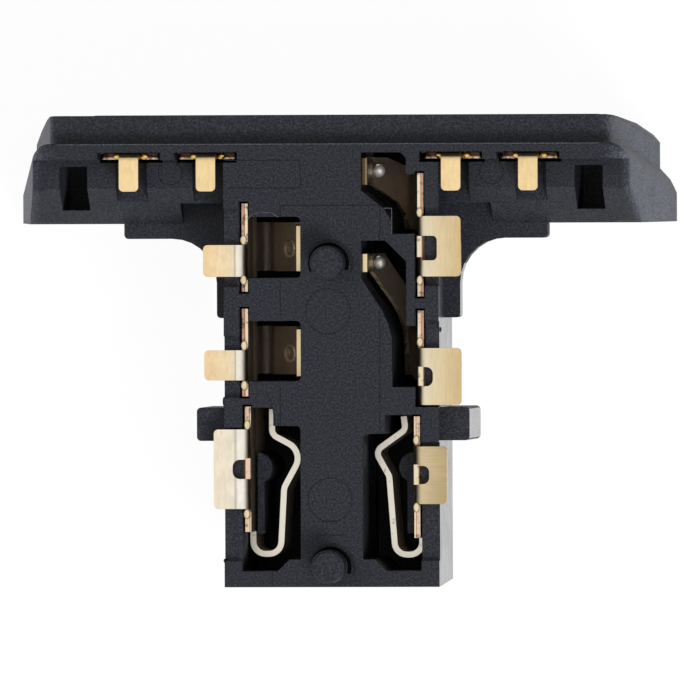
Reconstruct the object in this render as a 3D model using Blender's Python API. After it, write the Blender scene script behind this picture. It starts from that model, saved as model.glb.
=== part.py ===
"""A 3.5 mm audio jack socket with an accessory port round its mouth.

Metres, +Z up. The socket lies on its component side at Z = 0 and shows its board side on top. The plug
goes in from +Y. Places along the plug are given as depths, measured back from the mouth plane.

The housing is one moulding. Each contact is a stamped blank that is folded: the blank is cut flat, sliced
into short strips where it bends, and every point is carried on to the folded line.
"""

import math

import bmesh
import bpy
from mathutils import Vector

# Housing, overall
OVERALL_LENGTH = 0.01694
HOUSING_HEIGHT = 0.0072
FLANGE_WIDTH = 0.02386
FLANGE_TAPER = 0.00133
FLANGE_DROP = 0.0013
BODY_OFFSET = 0.00009
BOARD_CORNER = 0.0011
COMPONENT_CORNER = 0.0003
END_ROLL_RADIUS = 0.0033
END_ROLL_REACH = 0.0030
BOARD_ROLL_RADIUS = 0.0006
BOARD_ROLL_REACH = 0.0005

# Rim, port and mouth
RIM_HEIGHT = 0.0010
RIM_INSET = 0.00055
RIM_ROOT = 0.0013
RIM_WALL = 0.0007
PORT_DEPTH = 0.00135
PLATFORM_RISE = 0.0004
PLATFORM_HALF = 0.0029
COLLAR_DEPTH = 0.00035
COLLAR_WALL = 0.0004
LEAD_IN = 0.00015

# Flange, wing blocks and gusset
FLANGE_THICKNESS = 0.0029
BAND_WIDTH = 0.00059
WING_FLAT = 0.00101
WING_DROP = 0.0010
GUSSET_DROP = 0.00285
GUSSET_THICKNESS = 0.00095
GUSSET_REACH = 0.003775
GUSSET_LENGTH = 0.00054
GUSSET_FILLET = 0.0016
SIDE_STRIP_REACH = 0.000525
SIDE_STRIP_END = 0.0073
RECESS_REACH = 0.001725
RECESS_SHELF = 0.00074
EDGE_ROUND = 0.00015

# Body, ears and posts
BODY_WIDTH = 0.00775
BODY_ROUND = 0.0019
REAR_DRAFT = 0.0002
REAR_CHAMFER = 0.0006
EAR_REACH = 0.001045
EAR_FRONT = 0.01049
EAR_WIDTH = 0.0012
EAR_DROP = 0.00066
EAR_HEIGHT = 0.0044
POST_FRONT = 0.00528
POST_REAR = 0.01619
POST_REAR_WALL = 0.00075
POST_X = -0.00006
POST_RADIUS = 0.0006
POST_HEIGHT = 0.00125
POST_CHAMFER = 0.0001

# Plug bore
BORE_RADIUS = 0.0018
BORE_DEPTH = 0.0154

# Latch channels at the ends of the port
LATCH_INSET = 0.00263
LATCH_WIDTH = 0.00101
LATCH_HEIGHT = 0.0020
WINDOW_FRONT = 0.00182
WINDOW_REAR = 0.0034

# Sheet metal and the room round it
SHEET = 0.00022
BEND_RADIUS = 0.00026
BEND_SHOULDER = 0.0002
TAB_CORNER = 0.00016
SLOT_GAP = 0.00007
RECESS_GAP = 0.00005
LEAF_GAP = 0.00022
POCKET_FLOOR = 0.0012

# Leaf contacts: blade, U-shaped throat, knee and lip. The blade is set in from the side of the body; knee
# and lip are measured inwards from the blade, and up or down from the bore
LEFT_BLADE_INSET = 0.000735
RIGHT_BLADE_INSET = 0.000675
BLADE_FOOT_DROP = 0.0002
THROAT_FLOOR = 0.0017
THROAT_WIDTH = 0.0006
THROAT_RADIUS = 0.00029
KNEE_RADIUS = 0.0002
LEFT_KNEE_IN = 0.00081
LEFT_KNEE_DROP = 0.0001
LEFT_LIP_IN = 0.00171
LEFT_LIP_RISE = 0.0009
RIGHT_KNEE_IN = 0.00082
RIGHT_KNEE_DROP = 0.00035
RIGHT_LIP_IN = 0.00222
RIGHT_LIP_RISE = 0.00105
DIMPLE_RISE = 0.00013

# Depths of each leaf contact, front edge and rear edge; slanted edges are corners of a distance in from
# the blade and a depth
LEFT_FRONT = {"blade": (0.00316, 0.00633), "tab": (0.00465, 0.00579), "reach": 0.00147,
              "leaf": (0.00386, 0.00562), "dimple": (0.00052, 0.00478, 0.0003),
              "recess": (0.00334, 0.00615)}
LEFT_REAR = {"blade": (0.00694, 0.01009), "tab": (0.00843, 0.00951), "reach": 0.00144,
             "leaf": (0.0076, 0.00933), "dimple": (0.00052, 0.00855, 0.0003),
             "recess": (0.00793, 0.01013)}
RIGHT_FRONT = {"blade": (0.00209, 0.00652), "tab": (0.00363, 0.0058), "reach": 0.00148,
               "head": (0.00154, 0.0025), "root": (0.0022, 0.0042), "dimple": (0.00063, 0.00203, 0.00025),
               "front": ((0.00152, 0.00154),),
               "rear": ((0.00201, 0.0025), (0.00157, 0.00284), (0.00115, 0.00318), (0.00091, 0.0036)),
               "hole": (0.00434, 0.00522, 0.00062, 0.00016), "recess": (0.00334, 0.00614)}
RIGHT_REAR = {"blade": (0.00702, 0.01041), "tab": (0.00837, 0.01041), "reach": 0.00148,
              "head": (0.00498, 0.00563), "root": (0.00764, 0.0097), "dimple": (0.00061, 0.00531, 0.00024),
              "front": ((0.00162, 0.00498), (0.00088, 0.0062)),
              "rear": ((0.00201, 0.00563), (0.0016, 0.00628), (0.00128, 0.00676), (0.00105, 0.00724),
                       (0.0009, 0.0078)),
              "hole": (0.00905, 0.00974, 0.00046, 0.00024), "recess": (0.0074, 0.01049)}
RISER_LEAN = 0.00064
WALL_SHIFT = 0.00011
WALL_GAP = 0.0002
POCKET_SLANT = 0.00075

# Tip contacts: a strip on edge that runs from its free tip over a crest to a U-bend and the blade. Its
# line is corners of a distance in from the blade, a depth and a radius
TIP_BLADE_INSET = 0.000825
TIP_STRIP_LOW = 0.0023
TIP_STRIP_DROP = 0.0022
TIP_BLADE_FOOT = 0.0017
TIP_TURN_RADIUS = 0.00044
LEFT_TIP = {"line": ((0.00069, 0.01057), (0.00069, 0.01149, 0.00033), (0.00183, 0.0121, 0.0006),
                     (0.00112, 0.0134, 0.0005), (0.00099, 0.01578)),
            "blade": (0.01045, 0.01496), "tab": (0.01127, 0.01413), "reach": 0.0012,
            "hole": (0.01236, 0.01305, 0.00052, 0.00026), "recess": (0.0112, 0.016),
            "pocket": (0.01049, 0.01115, 0.00095)}
RIGHT_TIP = {"line": ((0.00065, 0.01084), (0.00059, 0.01132, 0.00025), (0.00168, 0.0121, 0.0003),
                      (0.00118, 0.01299, 0.0003), (0.00096, 0.01582)),
             "blade": (0.01082, 0.01519), "tab": (0.0119, 0.01397), "reach": 0.0011,
             "hole": (0.0126, 0.01325, 0.00046, 0.00022), "recess": (0.01175, 0.016),
             "pocket": (0.01077, 0.01144, 0.00112)}
TIP_POCKET_REACH = 0.00193
TIP_POCKET_REAR = 0.01595
TIP_POCKET_STEP = 0.00042
STOP_RADIUS = 0.00055
STOP_DEPTH = 0.01267
STOP_IN = 0.00022
STOP_DROP = 0.0016
RIB_WIDTH = 0.00025
RIB_END = 0.01504

# Port pad contacts
PAD_REACH = 0.000545
PAD_PITCH = 0.00278
PAD_WIDTH = 0.00213
PAD_FOOT = 0.0009
PAD_DROP = 0.00075
PAD_CORNER = 0.00012
PAD_SLOT_ROOM = 0.00012
LAND_RISE = 0.00003
LAND_MARGIN = 0.00005
STEM_WIDTH = 0.0007
TAIL_END = 0.00272
STEM_POCKET_SIDE = 0.00021
STEM_POCKET_DROP = 0.0017
STEM_POCKET_END = 0.00322

# Finishes
PLASTIC = ((0.028, 0.029, 0.034), 0.55, 0.0)
GOLD = ((0.86, 0.66, 0.36), 0.28, 1.0)

# Fineness of the mesh
ARC_STEP = math.radians(15)
ROUND_SIDES = 40
DIMPLE_LINES = 10
CUT_ROOM = 0.001

MOUTH_Y = OVERALL_LENGTH / 2
FLANGE_FACE = RIM_HEIGHT
FLANGE_REAR = FLANGE_FACE + FLANGE_THICKNESS
BAND_END = FLANGE_FACE + BAND_WIDTH
SLANT_START = BAND_END + WING_FLAT
WING_TOP = HOUSING_HEIGHT - WING_DROP
GUSSET_TOP = HOUSING_HEIGHT - GUSSET_DROP
BODY_HALF = BODY_WIDTH / 2
BODY_STRETCH = (OVERALL_LENGTH - FLANGE_REAR) / (POST_REAR + POST_REAR_WALL - FLANGE_REAR)
BORE_HEIGHT = HOUSING_HEIGHT / 2
BLADE_FOOT = BORE_HEIGHT - BLADE_FOOT_DROP
LATCH_X = FLANGE_WIDTH / 2 - LATCH_INSET
LATCH_FLOOR = BORE_HEIGHT - LATCH_HEIGHT / 2
LEFT_BLADE_X = BODY_HALF - LEFT_BLADE_INSET
RIGHT_BLADE_X = BODY_HALF - RIGHT_BLADE_INSET
TIP_BLADE_X = BODY_HALF - TIP_BLADE_INSET
PAD_INNER_X = BODY_HALF + PAD_REACH
PAD_OUTER_X = PAD_INNER_X + PAD_PITCH
PAD_CENTRES = [x - BODY_OFFSET for x in (-PAD_OUTER_X, -PAD_INNER_X, PAD_INNER_X, PAD_OUTER_X)]
PORT_ROOF = HOUSING_HEIGHT - RIM_INSET - RIM_WALL
OVER_TOP = HOUSING_HEIGHT + CUT_ROOM
SLOT_HALF = SHEET / 2 + SLOT_GAP
TAB_HEIGHT = HOUSING_HEIGHT - SHEET / 2
TAB_FLOOR = HOUSING_HEIGHT - SHEET - RECESS_GAP
BEND_FOOT = TAB_HEIGHT - BEND_RADIUS


def clear_scene():
    for item in list(bpy.data.objects):
        bpy.data.objects.remove(item, do_unlink=True)


def add_object(name, mesh):
    """Link a finished bmesh as a named object, with its faces turned outwards.

    Everything is drawn about the plug's line, from the underside of the body. The flange's middle lies
    beside that line and is brought to X = 0, and its underside hangs lower and is brought to Z = 0.
    """
    bmesh.ops.translate(mesh, verts=mesh.verts[:], vec=(BODY_OFFSET, 0, FLANGE_DROP))
    bmesh.ops.recalc_face_normals(mesh, faces=mesh.faces[:])
    if mesh.calc_volume(signed=True) < 0:
        bmesh.ops.reverse_faces(mesh, faces=mesh.faces[:])
    data = bpy.data.meshes.new(name)
    mesh.to_mesh(data)
    mesh.free()
    data.shade_smooth()
    data.set_sharp_from_angle(angle=math.radians(30))
    item = bpy.data.objects.new(name, data)
    bpy.context.scene.collection.objects.link(item)
    return item


def dress(item, colour, roughness, metallic):
    """Give an object a plain material of its own."""
    finish = bpy.data.materials.new(item.name)
    finish.use_nodes = True
    shader = finish.node_tree.nodes["Principled BSDF"]
    shader.inputs["Base Color"].default_value = (*colour, 1.0)
    shader.inputs["Roughness"].default_value = roughness
    shader.inputs["Metallic"].default_value = metallic
    item.data.materials.append(finish)


def arc_points(centre, radius, start, turn):
    """Points of an arc about a centre, from a start angle through a turn."""
    steps = max(1, math.ceil(abs(turn) / ARC_STEP))
    angles = [start + turn * i / steps for i in range(steps + 1)]
    return [(centre[0] + radius * math.cos(a), centre[1] + radius * math.sin(a)) for a in angles]


def corner_arc(before, corner, after, radius):
    """The arc that rounds a corner: its centre, start angle and turn, and where it leaves the sides."""
    back = (Vector(before) - Vector(corner)).normalized()
    ahead = (Vector(after) - Vector(corner)).normalized()
    half = back.angle(ahead) / 2
    centre = Vector(corner) + (back + ahead).normalized() * radius / math.sin(half)
    first = Vector(corner) + back * radius / math.tan(half)
    last = Vector(corner) + ahead * radius / math.tan(half)
    start = math.atan2(first.y - centre.y, first.x - centre.x)
    turn = math.atan2(last.y - centre.y, last.x - centre.x) - start
    turn = (turn + math.pi) % (2 * math.pi) - math.pi
    return centre, start, turn, first, last


def rounded(corners):
    """A closed outline from corners; a third value at a corner is the radius that rounds it."""
    points = []
    for i, corner in enumerate(corners):
        if len(corner) == 2:
            points.append(corner)
            continue
        after = corners[(i + 1) % len(corners)]
        centre, start, turn, _, _ = corner_arc(corners[i - 1][:2], corner[:2], after[:2], corner[2])
        points += arc_points(centre, corner[2], start, turn)
    return points


def behind(depth):
    """A distance back from the mouth: places behind the flange keep their share of the body's length."""
    return depth + max(0.0, depth - FLANGE_REAR) * (BODY_STRETCH - 1)


def plan(corners):
    """An outline in X and Y from corners whose second value is a depth back from the mouth."""
    return rounded([(corner[0], MOUTH_Y - behind(corner[1]), *corner[2:]) for corner in corners])


def add_prism(mesh, outline, axis, low, high):
    """Carry an outline along an axis: (x, y) along Z, (x, z) along Y or (y, z) along X."""
    place = {
        "X": lambda p, q, t: (t, p, q),
        "Y": lambda p, q, t: (p, t, q),
        "Z": lambda p, q, t: (p, q, t),
    }[axis]
    lower = [mesh.verts.new(place(p, q, low)) for p, q in outline]
    upper = [mesh.verts.new(place(p, q, high)) for p, q in outline]
    mesh.faces.new(lower)
    mesh.faces.new(upper)
    for i in range(len(outline)):
        mesh.faces.new((lower[i - 1], lower[i], upper[i], upper[i - 1]))


def prism(name, outline, axis, low, high):
    mesh = bmesh.new()
    add_prism(mesh, outline, axis, low, high)
    return add_object(name, mesh)


def blocks(name, boxes):
    """One object of plain boxes, each given as a range in X, a range of depths and a range in Z."""
    mesh = bmesh.new()
    for (left, right), (front, rear), (low, high) in boxes:
        add_prism(mesh, plan([(left, front), (right, front), (right, rear), (left, rear)]), "Z", low, high)
    return add_object(name, mesh)


def lofted(name, lower, upper, low, high):
    """A solid between two plan outlines of as many points, one above the other."""
    mesh = bmesh.new()
    bottom = [mesh.verts.new((x, y, low)) for x, y in lower]
    top = [mesh.verts.new((x, y, high)) for x, y in upper]
    mesh.faces.new(bottom)
    mesh.faces.new(top)
    for i in range(len(lower)):
        mesh.faces.new((bottom[i - 1], bottom[i], top[i]))
        mesh.faces.new((bottom[i - 1], top[i], top[i - 1]))
    return add_object(name, mesh)


def turned(name, profile, centre, axis):
    """A round solid from pairs of radius and distance along Y or Z, with flat ends."""
    mesh = bmesh.new()
    angles = [2 * math.pi * side / ROUND_SIDES for side in range(ROUND_SIDES)]
    rings = []
    for radius, distance in profile:
        circle = [(centre[0] + radius * math.cos(a), centre[1] + radius * math.sin(a)) for a in angles]
        places = [(p, distance, q) if axis == "Y" else (p, q, distance) for p, q in circle]
        rings.append([mesh.verts.new(place) for place in places])
    for lower, upper in zip(rings, rings[1:]):
        for i in range(ROUND_SIDES):
            mesh.faces.new((lower[i - 1], lower[i], upper[i], upper[i - 1]))
    mesh.faces.new(rings[0])
    mesh.faces.new(rings[-1])
    return add_object(name, mesh)


def combine(target, tool, operation):
    """Hang a Boolean on the target and keep its tool as a hidden wire shape."""
    step = target.modifiers.new(tool.name, "BOOLEAN")
    step.object = tool
    step.operation = operation
    step.solver = "EXACT"
    tool.hide_render = True
    tool.display_type = "WIRE"


def flange_section(inset):
    """The flange as seen from the mouth: a trapezoid, wider on the component side, drawn in by an inset."""
    base = FLANGE_WIDTH / 2 - inset
    top = base - FLANGE_TAPER
    low, high = inset - FLANGE_DROP, HOUSING_HEIGHT - inset
    outer = max(BOARD_CORNER - inset, COMPONENT_CORNER)
    corners = [(-base, low, COMPONENT_CORNER), (base, low, COMPONENT_CORNER),
               (top, high, outer), (-top, high, outer)]
    return [(x - BODY_OFFSET, z) for x, z in rounded(corners)]


def rolled_plan(half, reach, radius, face, rear):
    """A plan outline whose front is flat in the middle and rolls back in an arc to just past each end."""
    turn = -math.asin(min(1.0, (reach + SLOT_GAP) / radius))
    right = arc_points((half - reach, MOUTH_Y - face - radius), radius, math.pi / 2, turn)
    left = [(-x, y) for x, y in reversed(right)]
    outline = [*left, *right, (right[-1][0], MOUTH_Y - rear), (left[0][0], MOUTH_Y - rear)]
    return [(x - BODY_OFFSET, y) for x, y in outline]


def rolled_ends(name, face, rear):
    """A block rolled back at both ends, widely on the component side and tightly on the board side."""
    base = FLANGE_WIDTH / 2
    lower = rolled_plan(base, END_ROLL_REACH, END_ROLL_RADIUS, face, rear)
    upper = rolled_plan(base - FLANGE_TAPER, BOARD_ROLL_REACH, BOARD_ROLL_RADIUS, face, rear)
    span = HOUSING_HEIGHT + FLANGE_DROP
    room = CUT_ROOM / span
    below = [(a + (a - c) * room, b + (b - d) * room) for (a, b), (c, d) in zip(lower, upper)]
    above = [(c + (c - a) * room, d + (d - b) * room) for (a, b), (c, d) in zip(lower, upper)]
    return lofted(name, below, above, -FLANGE_DROP - CUT_ROOM, OVER_TOP)


def make_flange():
    """The flange as one block, with its front rolled back at both ends."""
    beyond = FLANGE_REAR + CUT_ROOM
    flange = prism("housing", flange_section(0), "Y", MOUTH_Y - beyond, MOUTH_Y)
    combine(flange, rolled_ends("flange_plan", FLANGE_FACE, FLANGE_REAR), "INTERSECT")
    return flange


def add_rim_and_port(housing):
    """The rim round the port, the port floor with its raised middle, and the collar round the mouth."""
    root = FLANGE_FACE + RIM_ROOT
    rim = prism("rim", flange_section(RIM_INSET), "Y", MOUTH_Y - root, MOUTH_Y + CUT_ROOM)
    combine(rim, rolled_ends("rim_plan", 0, root + CUT_ROOM), "INTERSECT")
    combine(housing, rim, "UNION")
    opening = flange_section(RIM_INSET + RIM_WALL)
    port = prism("port_cut", opening, "Y", MOUTH_Y - PORT_DEPTH, MOUTH_Y + CUT_ROOM)
    middle = blocks("port_platform", [((-PLATFORM_HALF, PLATFORM_HALF),
                                       (PORT_DEPTH - PLATFORM_RISE, PORT_DEPTH + CUT_ROOM),
                                       (-FLANGE_DROP - CUT_ROOM, OVER_TOP))])
    combine(port, middle, "DIFFERENCE")
    combine(housing, port, "DIFFERENCE")
    outer = BORE_RADIUS + COLLAR_WALL
    collar = [(outer, MOUTH_Y - FLANGE_REAR), (outer, MOUTH_Y - COLLAR_DEPTH)]
    combine(housing, turned("collar", collar, (0, BORE_HEIGHT), "Y"), "UNION")


def cut_wings(housing):
    """The top of the wing blocks: flat, then slanted down to the gusset, with a recess by the body."""
    beyond = FLANGE_REAR + CUT_ROOM
    slope = (WING_TOP - GUSSET_TOP) / (FLANGE_REAR - SLANT_START)
    wing = [(MOUTH_Y - BAND_END, OVER_TOP), (MOUTH_Y - BAND_END, WING_TOP), (MOUTH_Y - SLANT_START, WING_TOP),
            (MOUTH_Y - beyond, GUSSET_TOP - slope * CUT_ROOM), (MOUTH_Y - beyond, OVER_TOP)]
    combine(housing, prism("wing_cut", wing, "X", -FLANGE_WIDTH, FLANGE_WIDTH), "DIFFERENCE")
    shelf, half = FLANGE_REAR - RECESS_SHELF, BODY_HALF + RECESS_REACH
    recess = blocks("recess_cut", [((-half, half), (shelf, beyond), (GUSSET_TOP, OVER_TOP))])
    combine(housing, recess, "DIFFERENCE")


def add_body(housing):
    """The long body behind the flange, its gusset plate, side strips and ears."""
    section = rounded([(-BODY_HALF, 0, BODY_ROUND), (BODY_HALF, 0, BODY_ROUND),
                       (BODY_HALF, HOUSING_HEIGHT), (-BODY_HALF, HOUSING_HEIGHT)])
    front = MOUTH_Y - (PORT_DEPTH + BAND_END) / 2
    combine(housing, prism("body", section, "Y", -MOUTH_Y, front), "UNION")
    gusset_end = FLANGE_REAR + GUSSET_LENGTH
    narrow = BODY_HALF + SIDE_STRIP_REACH
    halves = []
    for side in (1, -1):
        wide = BODY_HALF + GUSSET_REACH - side * BODY_OFFSET
        corners = [(wide, FLANGE_REAR - RECESS_SHELF), (wide, gusset_end, EDGE_ROUND),
                   (narrow, gusset_end, GUSSET_FILLET), (narrow, SIDE_STRIP_END, EDGE_ROUND)]
        halves.append([(side * corner[0], *corner[1:]) for corner in corners])
    right, left = halves[0], halves[1][::-1]
    low = GUSSET_TOP - GUSSET_THICKNESS
    combine(housing, prism("gusset", plan(right + left), "Z", low, GUSSET_TOP), "UNION")
    half, rear, top = BODY_HALF + EAR_REACH, EAR_FRONT + EAR_WIDTH, HOUSING_HEIGHT - EAR_DROP
    outline = plan([(-half, EAR_FRONT, EDGE_ROUND), (half, EAR_FRONT, EDGE_ROUND),
                    (half, rear, EDGE_ROUND), (-half, rear, EDGE_ROUND)])
    combine(housing, prism("ears", outline, "Z", top - EAR_HEIGHT, top), "UNION")
    lower = -MOUTH_Y + REAR_DRAFT
    draft = [(-MOUTH_Y, HOUSING_HEIGHT), (lower, BODY_ROUND), (lower + REAR_CHAMFER, -REAR_CHAMFER),
             (-MOUTH_Y - CUT_ROOM, -REAR_CHAMFER), (-MOUTH_Y - CUT_ROOM, HOUSING_HEIGHT)]
    combine(housing, prism("rear_draft", draft, "X", -BODY_WIDTH, BODY_WIDTH), "DIFFERENCE")


def cut_bore_and_latches(housing):
    """The plug bore with its lead-in, and at each end a latch channel that turns up into a window."""
    face = MOUTH_Y - COLLAR_DEPTH
    bore = [(BORE_RADIUS, MOUTH_Y - behind(BORE_DEPTH)), (BORE_RADIUS, face - LEAD_IN),
            (BORE_RADIUS + LEAD_IN, face), (BORE_RADIUS + LEAD_IN, MOUTH_Y + CUT_ROOM)]
    combine(housing, turned("bore", bore, (0, BORE_HEIGHT), "Y"), "DIFFERENCE")
    roof = LATCH_FLOOR + LATCH_HEIGHT
    front, rear = MOUTH_Y - WINDOW_FRONT, MOUTH_Y - WINDOW_REAR
    profile = [(MOUTH_Y, LATCH_FLOOR), (MOUTH_Y, roof), (front, roof), (front, OVER_TOP),
               (rear, OVER_TOP), (rear, LATCH_FLOOR)]
    for side, label in ((-1, "left"), (1, "right")):
        middle = side * LATCH_X - BODY_OFFSET
        low, high = middle - LATCH_WIDTH / 2, middle + LATCH_WIDTH / 2
        combine(housing, prism(f"latch_{label}", profile, "X", low, high), "DIFFERENCE")


def add_posts(housing):
    """The two round posts that locate the socket in the board, with chamfered tips."""
    top = HOUSING_HEIGHT + POST_HEIGHT
    profile = [(POST_RADIUS, HOUSING_HEIGHT - POST_HEIGHT), (POST_RADIUS, top - POST_CHAMFER),
               (POST_RADIUS - POST_CHAMFER, top)]
    for depth, label in ((POST_FRONT, "front"), (POST_REAR, "rear")):
        centre = (POST_X, MOUTH_Y - behind(depth))
        combine(housing, turned(f"post_{label}", profile, centre, "Z"), "UNION")


def cut_left_pockets(housing):
    """The two windows on the left, each as wide as its leaf with room to flex."""
    outer = -LEFT_BLADE_X - SLOT_HALF
    inner = -LEFT_BLADE_X + LEFT_LIP_IN + SHEET / 2 + LEAF_GAP
    for contact, label in ((LEFT_FRONT, "front"), (LEFT_REAR, "rear")):
        front, rear = contact["leaf"][0] - LEAF_GAP, contact["leaf"][1] + LEAF_GAP
        outline = plan([(outer, front), (inner, front, EDGE_ROUND), (inner, rear, EDGE_ROUND), (outer, rear)])
        tool = prism(f"pocket_left_{label}", outline, "Z", POCKET_FLOOR, OVER_TOP)
        combine(housing, tool, "DIFFERENCE")


def cut_right_pockets(housing):
    """The two slanted pockets on the right, whose rear walls follow the rear edges of their leaves."""
    outer = RIGHT_BLADE_X + SLOT_HALF
    neck = RIGHT_BLADE_X - THROAT_WIDTH + SHEET / 2
    throat = RIGHT_BLADE_X - RIGHT_KNEE_IN - SHEET / 2 - SLOT_GAP
    mouth = RIGHT_BLADE_X - RIGHT_LIP_IN + SHEET / 2
    for contact, label, slant in ((RIGHT_FRONT, "front", WALL_GAP), (RIGHT_REAR, "rear", POCKET_SLANT)):
        head = contact["head"][0] - WALL_GAP - (slant - WALL_GAP) / 2
        front, rear = contact["root"][0] - SLOT_GAP, contact["root"][1] + SLOT_GAP
        wall = [(min(RIGHT_BLADE_X - inward - WALL_SHIFT, throat), depth + WALL_GAP)
                for inward, depth in contact["rear"]]
        corners = [(mouth, head), (neck - slant, head), (neck, head + slant), (neck, front),
                   (outer, front), (outer, rear), (throat, rear), *reversed(wall[1:]), (mouth, wall[0][1])]
        tool = prism(f"pocket_right_{label}", plan(corners), "Z", POCKET_FLOOR, OVER_TOP)
        combine(housing, tool, "DIFFERENCE")


def cut_tip_pockets(housing):
    """The long pockets of the tip contacts, each with the half-round stop and rib left standing in it."""
    outer = TIP_BLADE_X + SLOT_HALF
    rear = TIP_POCKET_REAR + TIP_POCKET_STEP
    back = TIP_BLADE_X - STOP_IN
    wall = TIP_BLADE_X - TIP_POCKET_REACH
    bulge = math.pi / 2 + math.acos(RIB_WIDTH / STOP_RADIUS)
    stop = [(back - x, STOP_DEPTH + y) for x, y in arc_points((0, 0), STOP_RADIUS, -math.pi / 2, bulge)]
    stop += [(back - RIB_WIDTH, RIB_END), (back, RIB_END)]
    for side, contact, label in ((-1, LEFT_TIP, "left"), (1, RIGHT_TIP, "right")):
        top, shoulder, neck = contact["pocket"]
        neck = TIP_BLADE_X - neck
        corners = [(outer, top), (neck, top), (neck, shoulder), (wall, shoulder, EDGE_ROUND),
                   (wall, TIP_POCKET_REAR), (wall + TIP_POCKET_STEP, TIP_POCKET_REAR),
                   (wall + 2 * TIP_POCKET_STEP, rear), (outer, rear)]
        outline = plan([(side * corner[0], *corner[1:]) for corner in corners])
        combine(housing, prism(f"pocket_tip_{label}", outline, "Z", POCKET_FLOOR, OVER_TOP), "DIFFERENCE")
        outline = plan([(side * x, depth) for x, depth in stop])
        tool = prism(f"stop_{label}", outline, "Z", POCKET_FLOOR - RIB_WIDTH, HOUSING_HEIGHT - STOP_DROP)
        combine(housing, tool, "UNION")


def cut_blade_slots(housing):
    """The slots the blades are pressed into, and the shallow recesses their solder tabs lie in."""
    rows = [(-1, LEFT_BLADE_X, BLADE_FOOT, LEFT_FRONT), (-1, LEFT_BLADE_X, BLADE_FOOT, LEFT_REAR),
            (1, RIGHT_BLADE_X, BLADE_FOOT, RIGHT_FRONT), (1, RIGHT_BLADE_X, BLADE_FOOT, RIGHT_REAR),
            (-1, TIP_BLADE_X, TIP_BLADE_FOOT, LEFT_TIP), (1, TIP_BLADE_X, TIP_BLADE_FOOT, RIGHT_TIP)]
    slots, recesses = [], []
    for side, blade_x, foot, contact in rows:
        middle = side * blade_x
        ends = (contact["blade"][0] - SLOT_GAP, contact["blade"][1] + SLOT_GAP)
        slots.append(((middle - SLOT_HALF, middle + SLOT_HALF), ends, (foot - SLOT_GAP, OVER_TOP)))
        across = sorted((middle, side * (BODY_HALF + CUT_ROOM)))
        recesses.append((across, contact["recess"], (TAB_FLOOR, OVER_TOP)))
    combine(housing, blocks("blade_slots", slots), "DIFFERENCE")
    combine(housing, blocks("tab_recesses", recesses), "DIFFERENCE")


def cut_pad_slots(housing):
    """Behind the rim, a slot for each port pad, and a pocket under each solder tail."""
    slots, pockets = [], []
    rear = PORT_DEPTH + SHEET
    for centre in PAD_CENTRES:
        half = PAD_WIDTH / 2 + SLOT_GAP
        slots.append(((centre - half, centre + half), (PORT_DEPTH - SLOT_GAP / 2, rear + PAD_SLOT_ROOM),
                      (PAD_FOOT - SLOT_GAP, OVER_TOP)))
        half = STEM_WIDTH / 2 + STEM_POCKET_SIDE
        inner = max(abs(centre) - half, BODY_HALF)
        across = sorted((math.copysign(inner, centre), math.copysign(abs(centre) + half, centre)))
        pockets.append((across, (rear, STEM_POCKET_END), (HOUSING_HEIGHT - STEM_POCKET_DROP, OVER_TOP)))
    combine(housing, blocks("pad_slots", slots), "DIFFERENCE")
    combine(housing, blocks("stem_pockets", pockets), "DIFFERENCE")


class Route:
    """A line with rounded corners in a plane, followed by the distance from its start."""

    def __init__(self, corners):
        self.pieces = []
        self.bends = []
        self.length = 0.0
        place = Vector(corners[0][:2])
        for before, corner, after in zip(corners, corners[1:], corners[2:]):
            centre, start, turn, first, last = corner_arc(before[:2], corner[:2], after[:2], corner[2])
            self.add_line(place, first)
            self.pieces.append((self.length, None, centre, corner[2], start, turn))
            self.bends.append((self.length, self.length + abs(turn) * corner[2]))
            self.length = self.bends[-1][1]
            place = last
        self.add_line(place, Vector(corners[-1][:2]))

    def add_line(self, start, end):
        self.pieces.append((self.length, (end - start).normalized(), start, 0, 0, 0))
        self.length += (end - start).length

    def stations(self):
        """Distances at which a sheet is sliced, so that every bend turns in short steps."""
        found = []
        for begin, heading, _, radius, _, turn in self.pieces:
            if heading is None:
                steps = max(2, math.ceil(abs(turn) / ARC_STEP))
                found += [begin + abs(turn) * radius * i / steps for i in range(steps + 1)]
        return found

    def place(self, distance, offset):
        """The point at a distance along the line, moved to the left of it by an offset."""
        passed = [piece for piece in self.pieces if piece[0] <= distance]
        begin, heading, anchor, radius, start, turn = passed[-1] if passed else self.pieces[0]
        if heading is not None:
            return anchor + heading * (distance - begin) + Vector((-heading.y, heading.x)) * offset
        way = math.copysign(1.0, turn)
        angle = start + way * (distance - begin) / radius
        return anchor + Vector((math.cos(angle), math.sin(angle))) * (radius - way * offset)


def leaf_route(reach, knee, lip):
    """A leaf contact seen along the plug, measured inwards from its blade."""
    return Route([(-reach, TAB_HEIGHT), (0, TAB_HEIGHT, BEND_RADIUS), (0, THROAT_FLOOR, THROAT_RADIUS),
                  (THROAT_WIDTH, THROAT_FLOOR, THROAT_RADIUS), (*knee, KNEE_RADIUS), lip])


def near_patch(face, x, y, radius):
    """Whether the box round a face reaches into the square round a dimple."""
    xs = [v.co.x for v in face.verts]
    ys = [v.co.y for v in face.verts]
    return min(xs) < x + radius and max(xs) > x - radius and min(ys) < y + radius and max(ys) > y - radius


def slice_sheet(mesh, faces, point, normal):
    """Slice some faces of a flat sheet along a line."""
    edges = {e for f in faces for e in f.edges}
    verts = {v for f in faces for v in f.verts}
    bmesh.ops.bisect_plane(mesh, geom=[*verts, *edges, *faces], dist=1e-8, plane_co=point, plane_no=normal)


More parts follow.
